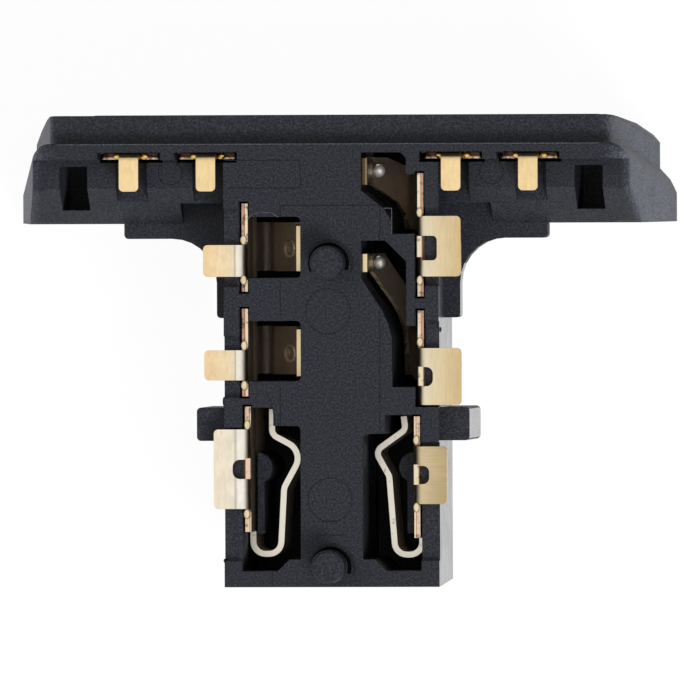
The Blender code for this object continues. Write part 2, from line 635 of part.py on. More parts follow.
def make_blank(outline, holes, across, along, dimple):
    """A flat sheet with holes, sliced where it will bend, with a fine grid where it is pressed."""
    mesh = bmesh.new()
    edges = []
    for loop in (outline, *holes):
        verts = [mesh.verts.new((x, y, 0)) for x, y in loop]
        edges += [mesh.edges.new((verts[i - 1], verts[i])) for i in range(len(verts))]
    bmesh.ops.triangle_fill(mesh, use_beauty=True, use_dissolve=False, edges=edges)
    for value in across:
        slice_sheet(mesh, mesh.faces[:], Vector((value, 0, 0)), Vector((1, 0, 0)))
    for value in along:
        slice_sheet(mesh, mesh.faces[:], Vector((0, value, 0)), Vector((0, 1, 0)))
    if dimple:
        x, y, radius = dimple
        for i in range(DIMPLE_LINES + 1):
            shift = radius * (2 * i / DIMPLE_LINES - 1)
            for point, normal in ((Vector((x + shift, 0, 0)), Vector((1, 0, 0))),
                                  (Vector((0, y + shift, 0)), Vector((0, 1, 0)))):
                slice_sheet(mesh, [f for f in mesh.faces if near_patch(f, x, y, radius)], point, normal)
    bmesh.ops.triangulate(mesh, faces=mesh.faces[:])
    grown = bmesh.ops.extrude_face_region(mesh, geom=mesh.faces[:], use_keep_orig=True)
    upper = {v for v in grown["geom"] if isinstance(v, bmesh.types.BMVert)}
    for vert in mesh.verts:
        vert.co.z = SHEET / 2 if vert in upper else -SHEET / 2
    return mesh


def pressed(x, y, dimple):
    """How far a dimple pushes the sheet down at a point: a dome with a cosine profile."""
    distance = min(1.0, math.hypot(x - dimple[0], y - dimple[1]) / dimple[2])
    return DIMPLE_RISE * (1 + math.cos(math.pi * distance)) / 2


def fold_leaf(name, side, blade_x, route, contact, front, rear, holes):
    """Cut a leaf contact flat, fold it along its route and set it on its side of the bore.

    The front and rear edges of the leaf are corners of distance along the route and depth.
    """
    bend = route.bends[0][1]
    foot = bend + BEND_FOOT - BLADE_FOOT
    (tab_front, tab_rear), (blade_front, blade_rear) = contact["tab"], contact["blade"]
    corners = [(0, tab_rear, TAB_CORNER), (0, tab_front, TAB_CORNER), (bend, tab_front, BEND_SHOULDER),
               (bend, blade_front), (foot, blade_front), (foot, front[0][1]), *front,
               *rear, (foot, rear[-1][1]), (foot, blade_rear)]
    if blade_rear > tab_rear:
        corners += [(bend, blade_rear), (bend, tab_rear, BEND_SHOULDER)]
    back, depth, radius = contact["dimple"]
    dimple = (route.length - back, depth, radius)
    mesh = make_blank(rounded(corners), holes, route.stations(), [], dimple)
    for vert in mesh.verts:
        distance, depth, offset = vert.co
        inward, height = route.place(distance, offset - pressed(distance, depth, dimple))
        vert.co = (side * (blade_x - inward), MOUTH_Y - behind(depth), height)
    dress(add_object(name, mesh), *GOLD)


def make_left_contacts():
    """Two alike contacts: a straight leaf whose dimple presses on the plug from the upper left."""
    knee = (LEFT_KNEE_IN, BORE_HEIGHT - LEFT_KNEE_DROP)
    lip = (LEFT_LIP_IN, BORE_HEIGHT + LEFT_LIP_RISE)
    for contact, name in ((LEFT_FRONT, "ring_contact_left_front"), (LEFT_REAR, "ring_contact_left_rear")):
        route = leaf_route(contact["reach"], knee, lip)
        front, rear = contact["leaf"]
        fold_leaf(name, -1, LEFT_BLADE_X, route, contact, [(route.length, front, SLOT_GAP)],
                  [(route.length, rear, SLOT_GAP)], [])


def tab_hole(route, contact):
    """The hole beside a leaf contact's tab bend, rounded on its outer side."""
    front, rear, reach, radius = contact["hole"]
    begin, end = route.bends[0]
    near, far = begin + (end - begin) / 3, begin + BEND_RADIUS - reach
    return rounded([(near, front), (far, front, radius), (far, rear, radius), (near, rear)])


def make_right_contacts():
    """Two contacts whose leaf narrows and swings forward, from the root at the blade to the head."""
    knee = (RIGHT_KNEE_IN, BORE_HEIGHT - RIGHT_KNEE_DROP)
    lip = (RIGHT_LIP_IN, BORE_HEIGHT + RIGHT_LIP_RISE)
    slope = math.atan2(lip[1] - knee[1], lip[0] - knee[0])
    for contact, name in ((RIGHT_FRONT, "sleeve_contact_right_front"), (RIGHT_REAR, "ring_contact_right_rear")):
        route = leaf_route(contact["reach"], knee, lip)
        end = route.length
        throat, riser_end = route.bends[2][1], route.bends[3][0]
        (head_front, head_rear), (root_front, root_rear) = contact["head"], contact["root"]
        edge = {side: [(end - (lip[0] - inward) / math.cos(slope), depth) for inward, depth in contact[side]]
                for side in ("front", "rear")}
        lean = min(RISER_LEAN, (root_front - head_front) / 8)
        front = [(throat, root_front), ((throat + riser_end) / 2, root_front - lean),
                 *reversed(edge["front"]), (end, head_front, SLOT_GAP)]
        rear = [(end, head_rear, SLOT_GAP), *edge["rear"], (riser_end, root_rear - lean), (throat, root_rear)]
        fold_leaf(name, 1, RIGHT_BLADE_X, route, contact, front, rear, [tab_hole(route, contact)])


def make_tip_contacts():
    """Strips on edge: free tip, crest at the plug's tip groove, arm, U-bend, and a blade with its tab."""
    for side, contact, label in ((-1, LEFT_TIP, "left"), (1, RIGHT_TIP, "right")):
        line = contact["line"]
        corners = [*line[:-1], (*line[-1], TIP_TURN_RADIUS), (0, line[-1][1], TIP_TURN_RADIUS),
                   (0, contact["blade"][0])]
        route = Route([(corner[0] - TIP_BLADE_X, MOUTH_Y - behind(corner[1]), *corner[2:]) for corner in corners])
        fold = Route([(0, 0), (0, TAB_HEIGHT, BEND_RADIUS), (contact["reach"], TAB_HEIGHT)])
        (bend, flat), end = fold.bends[0], fold.length
        origin = route.length + behind(contact["blade"][0])
        blade = origin - behind(contact["blade"][1])
        tab_front, tab_rear = [origin - behind(depth) for depth in contact["tab"]]
        outline = rounded([(0, TIP_STRIP_LOW), (blade, TIP_STRIP_LOW), (blade, TIP_BLADE_FOOT),
                           (route.length, TIP_BLADE_FOOT), (route.length, bend),
                           (tab_front, bend, BEND_SHOULDER), (tab_front, end, TAB_CORNER),
                           (tab_rear, end, TAB_CORNER), (tab_rear, bend, BEND_SHOULDER), (blade, bend),
                           (blade, HOUSING_HEIGHT - TIP_STRIP_DROP), (0, HOUSING_HEIGHT - TIP_STRIP_DROP)])
        hole_front, hole_rear, reach, radius = contact["hole"]
        front, rear = origin - behind(hole_front), origin - behind(hole_rear)
        near, far = flat - (flat - bend) / 3, flat - BEND_RADIUS + reach
        hole = rounded([(rear, near), (front, near), (front, far, radius), (rear, far, radius)])
        mesh = make_blank(outline, [hole], route.stations(), fold.stations(), None)
        for vert in mesh.verts:
            distance, height, offset = vert.co
            outward, height = fold.place(height, offset)
            x, y = route.place(distance, outward)
            vert.co = (-side * x, y, height)
        dress(add_object(f"tip_contact_{label}", mesh), *GOLD)


def make_pad_contacts():
    """Four T-shaped stampings: a pad standing in the port floor, with a tail folded back on to the board.

    The part of the pad that shows in the port is coined a little proud of the rest.
    """
    middle = PORT_DEPTH + SHEET / 2
    route = Route([(-middle, PAD_FOOT), (-middle, TAB_HEIGHT, BEND_RADIUS), (-TAIL_END, TAB_HEIGHT)])
    half, stem, shoulder = PAD_WIDTH / 2, STEM_WIDTH / 2, HOUSING_HEIGHT - PAD_DROP - PAD_FOOT
    right = [(0, half, PAD_CORNER), (shoulder, half, PAD_CORNER), (shoulder, stem, PAD_CORNER),
             (route.length, stem, TAB_CORNER)]
    left = [(corner[0], -corner[1], corner[2]) for corner in reversed(right)]
    for number, centre in enumerate(PAD_CENTRES, 1):
        mesh = make_blank(rounded(right + left), [], route.stations(), [], None)
        for vert in mesh.verts:
            distance, across, offset = vert.co
            y, height = route.place(distance, offset)
            vert.co = (centre + across, MOUTH_Y + y, height)
        pad = add_object(f"port_pad_contact_{number}", mesh)
        land = blocks(f"land_{number}", [((centre - half + LAND_MARGIN, centre + half - LAND_MARGIN),
                                          (PORT_DEPTH - LAND_RISE, middle),
                                          (PAD_FOOT + LAND_MARGIN, PORT_ROOF - LAND_MARGIN))])
        combine(pad, land, "UNION")
        dress(pad, *GOLD)


def make_housing():
    """The whole moulding, worked from the flange back to the contact slots."""
    housing = make_flange()
    dress(housing, *PLASTIC)
    add_rim_and_port(housing)
    cut_wings(housing)
    add_body(housing)
    cut_bore_and_latches(housing)
    cut_left_pockets(housing)
    cut_right_pockets(housing)
    cut_tip_pockets(housing)
    cut_blade_slots(housing)
    cut_pad_slots(housing)
    add_posts(housing)


clear_scene()
make_housing()
make_left_contacts()
make_right_contacts()
make_tip_contacts()
make_pad_contacts()
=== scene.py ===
"""The audio jack socket seen from its board side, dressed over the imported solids.

Metres, +Y out of the plug mouth, +Z towards the board.
"""

import math

import bpy
import numpy as np
from mathutils import Matrix, Vector
from mathutils.bvhtree import BVHTree


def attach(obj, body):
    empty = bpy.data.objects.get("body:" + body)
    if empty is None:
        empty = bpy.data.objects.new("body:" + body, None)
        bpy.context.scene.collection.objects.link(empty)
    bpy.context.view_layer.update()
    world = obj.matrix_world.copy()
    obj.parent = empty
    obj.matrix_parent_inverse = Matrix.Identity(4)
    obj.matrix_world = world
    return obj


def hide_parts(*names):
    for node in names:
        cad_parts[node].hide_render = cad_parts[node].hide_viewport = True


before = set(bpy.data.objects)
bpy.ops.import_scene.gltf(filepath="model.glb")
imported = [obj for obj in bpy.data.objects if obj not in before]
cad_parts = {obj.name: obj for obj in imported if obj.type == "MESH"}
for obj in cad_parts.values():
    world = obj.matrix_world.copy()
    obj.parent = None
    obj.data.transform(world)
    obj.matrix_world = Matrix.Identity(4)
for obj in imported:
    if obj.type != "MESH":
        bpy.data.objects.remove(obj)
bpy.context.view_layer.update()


# Housing: one injection moulding in glass-filled charcoal plastic. Its board side carries the pockets that
# the contacts are pressed into, two locating posts, and the slanted wings behind the accessory port.

BOARD_FACE = 0.0085
SIDE_WALL, BODY_REACH, SIDE_TURN = 0.0038, 0.007, 0.9
WELD_REACH = 1e-7
HOUSING_SHARP = 30
EDGE_ROUND, END_ROUND = 0.00003, 0.0005
END_START, END_REACH, END_SHEEN_GAIN = 0.0096, 0.0106, 4.5
EDGE_SAMPLES = 8
SPECKLE_SCALE, SPECKLE_DETAIL, SPECKLE_ROUGH = 14000, 3, 0.7
SPECKLE_DARK, SPECKLE_LIGHT = 0.42, 0.74
SPECKLE_STRENGTH, SPECKLE_HEIGHT = 0.5, 0.000006
GLOSS_SCALE, GLOSS_DETAIL, GLOSS_SWING = 900, 3, 0.08
CHARCOAL = (0.006, 0.0065, 0.009), (0.034, 0.036, 0.045)
SIDE_CHARCOAL_PAINTED_SHEEN = (0.012, 0.012, 0.020), (0.05, 0.05, 0.07)


def rebuilt(mesh, name):
    """The same surface as a new mesh without stored normals."""
    places = np.empty(len(mesh.vertices) * 3)
    mesh.vertices.foreach_get("co", places)
    fresh = bpy.data.meshes.new(name)
    fresh.from_pydata(places.reshape(-1, 3), [], [list(p.vertices) for p in mesh.polygons])
    return fresh


def welded(node, name, sharp_angle):
    """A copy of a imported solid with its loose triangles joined, smooth where it bends less than an angle."""
    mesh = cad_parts[node].data.copy()
    piece = bpy.data.objects.new(name, mesh)
    bpy.context.scene.collection.objects.link(piece)
    weld = piece.modifiers.new("weld", "WELD")
    weld.merge_threshold = WELD_REACH
    graph = bpy.context.evaluated_depsgraph_get()
    joined = bpy.data.meshes.new_from_object(piece.evaluated_get(graph))
    piece.modifiers.clear()
    piece.data = rebuilt(joined, name)
    piece.data.shade_smooth()
    piece.data.set_sharp_from_angle(angle=math.radians(sharp_angle))
    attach(piece, "root")
    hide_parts(node)
    return piece


def even_shading(piece):
    """Flat faces stay flat beside rounded ones: normals weighted by the area of each face."""
    weights = piece.modifiers.new("weights", "WEIGHTED_NORMAL")
    weights.keep_sharp = True
    weights.weight = 100


def charcoal_plastic(name, dark, light, roughness, ior=1.31):
    """Glass-filled plastic: a fine light speckle over charcoal, slightly uneven gloss, softened edges.

    The edge radius grows from END_START to END_REACH, where the flange's ends are rounder. The same share,
    times how far a face turns to the side, makes it paler: a painted sheen of the room on the turned ends.
    """
    finish = bpy.data.materials.new(name)
    finish.use_nodes = True
    nodes, links = finish.node_tree.nodes, finish.node_tree.links
    shader = nodes["Principled BSDF"]
    shader.inputs["IOR"].default_value = ior
    place = nodes.new("ShaderNodeTexCoord")
    speckle = nodes.new("ShaderNodeTexNoise")
    speckle.inputs["Scale"].default_value = SPECKLE_SCALE
    speckle.inputs["Detail"].default_value = SPECKLE_DETAIL
    speckle.inputs["Roughness"].default_value = SPECKLE_ROUGH
    tone = nodes.new("ShaderNodeValToRGB")
    tone.color_ramp.elements[0].position = SPECKLE_DARK
    tone.color_ramp.elements[0].color = (*dark, 1)
    tone.color_ramp.elements[1].position = SPECKLE_LIGHT
    tone.color_ramp.elements[1].color = (*light, 1)
    cloud = nodes.new("ShaderNodeTexNoise")
    cloud.inputs["Scale"].default_value = GLOSS_SCALE
    cloud.inputs["Detail"].default_value = GLOSS_DETAIL
    gloss = nodes.new("ShaderNodeMapRange")
    gloss.inputs["To Min"].default_value = roughness - GLOSS_SWING
    gloss.inputs["To Max"].default_value = roughness + GLOSS_SWING
    bump = nodes.new("ShaderNodeBump")
    bump.inputs["Strength"].default_value = SPECKLE_STRENGTH
    bump.inputs["Distance"].default_value = SPECKLE_HEIGHT
    axes = nodes.new("ShaderNodeSeparateXYZ")
    beside = nodes.new("ShaderNodeMath")
    beside.operation = "ABSOLUTE"
    outer = nodes.new("ShaderNodeMapRange")
    outer.inputs["From Min"].default_value = END_START
    outer.inputs["From Max"].default_value = END_REACH
    softness = nodes.new("ShaderNodeMapRange")
    softness.inputs["To Min"].default_value = EDGE_ROUND
    softness.inputs["To Max"].default_value = END_ROUND
    edge = nodes.new("ShaderNodeBevel")
    edge.samples = EDGE_SAMPLES
    sides = nodes.new("ShaderNodeSeparateXYZ")
    turned = nodes.new("ShaderNodeMath")
    turned.operation = "ABSOLUTE"
    share = nodes.new("ShaderNodeMath")
    share.operation = "MULTIPLY"
    # Painted sheen: the flange's ends turn paler the further their faces turn to the side.
    sheen_gain = nodes.new("ShaderNodeMapRange")
    sheen_gain.inputs["To Min"].default_value = 1
    sheen_gain.inputs["To Max"].default_value = END_SHEEN_GAIN
    painted_end_sheen = nodes.new("ShaderNodeVectorMath")
    painted_end_sheen.operation = "SCALE"
    links.new(place.outputs["Object"], speckle.inputs["Vector"])
    links.new(place.outputs["Object"], cloud.inputs["Vector"])
    links.new(place.outputs["Object"], axes.inputs["Vector"])
    links.new(speckle.outputs["Fac"], tone.inputs["Fac"])
    links.new(axes.outputs["X"], beside.inputs[0])
    links.new(beside.outputs["Value"], outer.inputs["Value"])
    links.new(outer.outputs["Result"], softness.inputs["Value"])
    links.new(softness.outputs["Result"], edge.inputs["Radius"])
    links.new(edge.outputs["Normal"], sides.inputs["Vector"])
    links.new(sides.outputs["X"], turned.inputs[0])
    links.new(turned.outputs["Value"], share.inputs[0])
    links.new(outer.outputs["Result"], share.inputs[1])
    links.new(share.outputs["Value"], sheen_gain.inputs["Value"])
    links.new(tone.outputs["Color"], painted_end_sheen.inputs[0])
    links.new(sheen_gain.outputs["Result"], painted_end_sheen.inputs["Scale"])
    links.new(painted_end_sheen.outputs["Vector"], shader.inputs["Base Color"])
    links.new(cloud.outputs["Fac"], gloss.inputs["Value"])
    links.new(gloss.outputs["Result"], shader.inputs["Roughness"])
    links.new(speckle.outputs["Fac"], bump.inputs["Height"])
    links.new(edge.outputs["Normal"], bump.inputs["Normal"])
    links.new(bump.outputs["Normal"], shader.inputs["Normal"])
    return finish


plastic = charcoal_plastic("charcoal plastic", *CHARCOAL, roughness=0.55)
# The body's smooth sides take a lighter, bluish charcoal: a painted sheen of the bright room seen at a grazing
# angle.
side_plastic_painted_sheen = charcoal_plastic("smooth side plastic with painted sheen", *SIDE_CHARCOAL_PAINTED_SHEEN, roughness=0.2, ior=1.75)
housing = welded("housing", "moulded_housing", HOUSING_SHARP)
housing.data.materials.append(plastic)
housing.data.materials.append(side_plastic_painted_sheen)
normals = np.empty(len(housing.data.polygons) * 3)
centres = np.empty(len(housing.data.polygons) * 3)
housing.data.polygons.foreach_get("normal", normals)
housing.data.polygons.foreach_get("center", centres)
outward, across = normals.reshape(-1, 3)[:, 0], centres.reshape(-1, 3)[:, 0]
smooth_sides = (np.abs(outward) > SIDE_TURN) & (outward * across > SIDE_WALL) & (np.abs(across) < BODY_REACH)
housing.data.polygons.foreach_set("material_index", smooth_sides.astype(int))
even_shading(housing)


# Witness lines: where slides and inserts of the mould met, the moulding keeps hair-thin raised lines on its
# board face, and a raised ring round each round insert; their darker plastic is painted shade. Round each
# post a dark ring is a painted shadow, and pale lines on the sharpest edges are painted highlights.

WING_DROP = 0.0010
LINE_HALF, LINE_HEIGHT = 0.000016, 0.000012
RING_STEPS, ARC_STEPS, SIDE_STEPS = 49, 25, 5
POSTS = (0.00001, 0.00315), (0.00006, -0.00776)
POST_SHADOW_RADIUS, POST_SHADOW_HALF, POST_SHADOW_START, POST_SHADOW_END = 0.00067, 0.00007, -20, 205
SHADOW_FADE_RADIUS, SHADOW_FADE_STEP, SHADOW_FADE_HALF = 0.00077, 0.00004, 0.00003
SHADOW_FADE_START, SHADOW_FADE_END, SHADOW_FADE_TURN = 20, 165, 20
EJECTOR_RADIUS = 0.00043


def ridges(name, paths, level, finish, half=LINE_HALF):
    """Thin ridges on a flat face: a low flat-topped profile carried along each path of X and Y.

    The profile stands across the path's own direction at each point, with its foot below the face.
    """
    rise = LINE_HEIGHT
    profile = np.array([(-half, -rise), (-half, 0), (-half / 2, rise),
                        (half / 2, rise), (half, 0), (half, -rise)])
    points, faces, count = [], [], 0
    for path in paths:
        path = np.asarray(path, dtype=float)
        ahead = np.gradient(path, axis=0)
        ahead /= np.linalg.norm(ahead, axis=1, keepdims=True)
        side = np.stack([-ahead[:, 1], ahead[:, 0]], axis=1)
        flat = path[:, None, :] + side[:, None, :] * profile[None, :, :1]
        heights = np.broadcast_to(level + profile[None, :, 1:], (len(path), len(profile), 1))
        points.append(np.concatenate([flat, heights], axis=2).reshape(-1, 3))
        index = count + np.arange(len(path) * len(profile)).reshape(len(path), len(profile))
        near, far = index[:-1], index[1:]
        quads = np.stack([near, np.roll(near, -1, 1), np.roll(far, -1, 1), far], axis=2)
        faces += quads.reshape(-1, 4).tolist() + [index[0][::-1].tolist(), index[-1].tolist()]
        count += index.size
    mesh = bpy.data.meshes.new(name)
    mesh.from_pydata(np.concatenate(points), [], faces)
    mesh.materials.append(finish)
    piece = bpy.data.objects.new(name, mesh)
    bpy.context.scene.collection.objects.link(piece)
    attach(piece, "root")
    return piece


def ring(x, y, radius):
    """A full circle as a path."""
    turn = np.linspace(0, 2 * np.pi, RING_STEPS)
    return np.stack([x + radius * np.cos(turn), y + radius * np.sin(turn)], axis=1)


def arc(x, y, radius, start, end):
    """Part of a circle as a path, between two angles in degrees."""
    turn = np.radians(np.linspace(start, end, ARC_STEPS))
    return np.stack([x + radius * np.cos(turn), y + radius * np.sin(turn)], axis=1)


def straight(*corners):
    """Corners in millimetres as a path in metres, each side cut into short steps."""
    corners = np.array(corners) / 1000
    steps = np.linspace(0, 1, SIDE_STEPS)[:-1]
    sides = [a + (b - a) * steps[:, None] for a, b in zip(corners, corners[1:])]
    return np.concatenate([*sides, corners[-1:]])


# Witness lines, ejector rings and shadow fades use a darker plastic: painted shade, as a fine step holds.
painted_shade_line_plastic = charcoal_plastic("painted shade line plastic", (0.004, 0.004, 0.005), (0.02, 0.02, 0.025), 0.6)
ridges("witness_lines", [
    straight((-1.76, 5.235), (1.86, 5.235)),
    straight((-1.727, 5.18), (-1.727, 4.86)),
    straight((-1.738, 2.50), (-1.741, 1.22)),
    straight((-1.753, -1.19), (-1.757, -2.67)),
    straight((1.862, 5.20), (1.859, 3.98)),
    straight((1.845, 1.56), (1.832, -2.86)),
    straight((-3.72, 6.86), (-1.0, 6.86), (-1.0, 5.86), (-3.6, 5.86)),
    straight((-2.274, -1.496), (-2.113, -1.767), (-2.007, -2.127), (-1.955, -2.631)),
    straight((-0.476, -6.60), (0.604, -6.60)),
    straight((-0.259, -6.13), (0.03, -6.077), (0.281, -6.132)),
    straight((-2.067, -7.93), (-2.067, -8.44)),
    straight((-3.72, 2.325), (-3.44, 2.325)),
    straight((-3.72, 0.543), (-3.44, 0.543)),
    straight((3.60, 2.331), (3.93, 2.331)),
    straight((3.60, 1.072), (3.93, 1.072)),
    ring(-0.000012, 0.001429, 0.00081),
    ring(0.000033, -0.005339, 0.00079),
], BOARD_FACE, painted_shade_line_plastic)
# Painted shadow round each post: a dark ring that reflects almost nothing, faded outward by thinner arcs of
# the dark line plastic.
post_shadow_plastic = charcoal_plastic("painted post shadow plastic", (0.001, 0.001, 0.001), (0.004, 0.004, 0.005), 0.85, 1.05)
ridges("painted_post_shadows", [arc(x, y, POST_SHADOW_RADIUS, POST_SHADOW_START, POST_SHADOW_END) for x, y in POSTS],
       BOARD_FACE, post_shadow_plastic, POST_SHADOW_HALF)
ridges("painted_post_shadow_fades", [
    arc(x, y, SHADOW_FADE_RADIUS + step * SHADOW_FADE_STEP, SHADOW_FADE_START - step * SHADOW_FADE_TURN, SHADOW_FADE_END - step * SHADOW_FADE_TURN)
    for x, y in POSTS for step in range(3)
], BOARD_FACE, painted_shade_line_plastic, SHADOW_FADE_HALF)
# Painted highlights: pale lines where light catches the sharpest edges and the flange's ledge.
edge_highlight_plastic = charcoal_plastic("painted edge highlight plastic", (0.03, 0.032, 0.036), (0.12, 0.125, 0.135), 0.4)
ridges("painted_edge_highlights", [
    straight((-2.915, 4.752), (-2.734, 4.932), (-2.374, 5.002), (-2.014, 4.965), (-1.799, 4.82)),
    straight((2.02, 5.13), (2.288, 5.13), (2.288, 4.19)),
    straight((-9.8, 7.44), (9.8, 7.44)),
], BOARD_FACE, edge_highlight_plastic)
ridges("ejector_rings", [ring(-0.005794, 0.006409, EJECTOR_RADIUS), ring(0.005798, 0.006416, EJECTOR_RADIUS)],
       BOARD_FACE - WING_DROP, painted_shade_line_plastic)


# Gate nibs: where the sprues of the mould were twisted off, small rough stubs of the housing's own plastic
# stay on the body's sides.

NIB_ROUND, NIB_OVER, NIB_POLE = 17, 9, 0.05


def nib(name, centre, radii, finish):
    """A small stub: a sphere drawn out along three axes, from an angle round it and an angle over it.

    Sizes are in millimetres, and the height is given from the board face.
    """
    round_, over = np.meshgrid(np.linspace(0, 2 * np.pi, NIB_ROUND)[:-1],
                               np.linspace(NIB_POLE, np.pi - NIB_POLE, NIB_OVER))
    shell = np.stack([np.cos(round_) * np.sin(over), np.sin(round_) * np.sin(over), np.cos(over)], axis=2)
    points = (np.array(centre) + shell * np.array(radii)) / 1000 + (0, 0, BOARD_FACE)
    index = np.arange(points.shape[0] * points.shape[1]).reshape(points.shape[:2])
    near, far = index[:-1], index[1:]
    quads = np.stack([near, far, np.roll(far, -1, 1), np.roll(near, -1, 1)], axis=2).reshape(-1, 4)
    mesh = bpy.data.meshes.new(name)
    caps = [index[0].tolist(), index[-1][::-1].tolist()]
    mesh.from_pydata(points.reshape(-1, 3), [], quads.tolist() + caps)
    mesh.shade_smooth()
    mesh.materials.append(finish)
    piece = bpy.data.objects.new(name, mesh)
    bpy.context.scene.collection.objects.link(piece)
    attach(piece, "root")


nib("gate_nib_left_middle", (-3.79, -1.80, -0.15), (0.06, 0.17, 0.12), plastic)
nib("gate_nib_left_rear", (-3.79, -7.52, -0.2), (0.05, 0.08, 0.12), plastic)
nib("gate_nib_right", (3.96, 0.76, -0.6), (0.06, 0.1, 0.12), plastic)


# Contacts: stamped from gold-flashed spring bronze 0.22 mm thick, folded, and pressed into the housing's side
# slots by their blades. The punch shears through the plating, so every cut edge shows bare coppery metal,
# while the rolled faces stay gold.

SHEET_MIN, SHEET_MAX = 0.00012, 0.00027
BARE_BELOW = 0.0008
SHEAR_HALF = 0.00004
PROBE_START, PROBE_REACH = 2e-6, 0.004
CONTACT_SHARP, ROUNDING_SHARP, ROUNDING = 35, 40, 0.000018
PLATED, SHEARED, DIMPLED, DEEP_SHEARED, SPRUNG = range(5)
BRUSH_LINES = (9000, 3000, 9000)
BRUSH_DETAIL, BRUSH_STRENGTH, BRUSH_HEIGHT = 4, 0.2, 0.000004
CLOUD_SCALE, CLOUD_DETAIL, CLOUD_SHARE = 1400, 3, 0.4
WEAR_FROM, WEAR_TO, WORN_DARK, WORN_LIGHT = 0.3, 0.7, 0.82, 1.08
SMOOTHER, ROUGHER = 0.06, 0.1
EDGE_ROUGHNESS = 0.38
BAND_STOPS, STEP_SHADE = (0.25, 0.5, 0.6, 0.85), 0.35
NICK_SCALE, NICK_DETAIL, NICK_FADE, NICK_SHADE = 4500, 4, 0.12, 0.35
NICK_STRENGTH, NICK_HEIGHT = 0.5, 0.00001


def gold_flash(name, stops, brush, roughness, axis="X"):
    """Rolled metal worn along brush lines, its tone changing along an axis; on the tabs that tone paints the
    bend's light and shade.

    The stops are distances from the frame's origin along that axis, in millimetres, each with a colour.
    """
    finish = bpy.data.materials.new(name)
    finish.use_nodes = True
    nodes, links = finish.node_tree.nodes, finish.node_tree.links
    shader = nodes["Principled BSDF"]
    shader.inputs["Metallic"].default_value = 1.0
    place = nodes.new("ShaderNodeTexCoord")
    axes = nodes.new("ShaderNodeSeparateXYZ")
    beside = nodes.new("ShaderNodeMath")
    beside.operation = "ABSOLUTE"
    reach = nodes.new("ShaderNodeMapRange")
    reach.inputs["From Min"].default_value = stops[0][0] / 1000
    reach.inputs["From Max"].default_value = stops[-1][0] / 1000
    plate = nodes.new("ShaderNodeValToRGB")
    ramp = plate.color_ramp.elements
    while len(ramp) < len(stops):
        ramp.new(0.5)
    for element, (distance, colour) in zip(ramp, stops):
        element.position = (distance - stops[0][0]) / (stops[-1][0] - stops[0][0])
        element.color = (*colour, 1)
    lines = nodes.new("ShaderNodeMapping")
    lines.inputs["Scale"].default_value = brush
    grain = nodes.new("ShaderNodeTexNoise")
    grain.inputs["Scale"].default_value = 1
    grain.inputs["Detail"].default_value = BRUSH_DETAIL
    cloud = nodes.new("ShaderNodeTexNoise")
    cloud.inputs["Scale"].default_value = CLOUD_SCALE
    cloud.inputs["Detail"].default_value = CLOUD_DETAIL
    blend = nodes.new("ShaderNodeMix")
    blend.inputs["Factor"].default_value = CLOUD_SHARE
    shade = nodes.new("ShaderNodeMapRange")
    shade.inputs["From Min"].default_value = WEAR_FROM
    shade.inputs["From Max"].default_value = WEAR_TO
    shade.inputs["To Min"].default_value = WORN_DARK
    shade.inputs["To Max"].default_value = WORN_LIGHT
    worn = nodes.new("ShaderNodeVectorMath")
    worn.operation = "SCALE"
    gloss = nodes.new("ShaderNodeMapRange")
    gloss.inputs["To Min"].default_value = roughness - SMOOTHER
    gloss.inputs["To Max"].default_value = roughness + ROUGHER
    bump = nodes.new("ShaderNodeBump")
    bump.inputs["Strength"].default_value = BRUSH_STRENGTH
    bump.inputs["Distance"].default_value = BRUSH_HEIGHT
    links.new(place.outputs["Object"], axes.inputs["Vector"])
    links.new(axes.outputs[axis], beside.inputs[0])
    links.new(beside.outputs["Value"], reach.inputs["Value"])
    links.new(reach.outputs["Result"], plate.inputs["Fac"])
    links.new(place.outputs["Object"], lines.inputs["Vector"])
    links.new(lines.outputs["Vector"], grain.inputs["Vector"])
    links.new(place.outputs["Object"], cloud.inputs["Vector"])
    links.new(grain.outputs["Fac"], blend.inputs["A"])
    links.new(cloud.outputs["Fac"], blend.inputs["B"])
    links.new(blend.outputs["Result"], shade.inputs["Value"])
    links.new(plate.outputs["Color"], worn.inputs[0])
    links.new(shade.outputs["Result"], worn.inputs["Scale"])
    links.new(worn.outputs["Vector"], shader.inputs["Base Color"])
    links.new(grain.outputs["Fac"], gloss.inputs["Value"])
    links.new(gloss.outputs["Result"], shader.inputs["Roughness"])
    links.new(grain.outputs["Fac"], bump.inputs["Height"])
    links.new(bump.outputs["Normal"], shader.inputs["Normal"])
    return finish


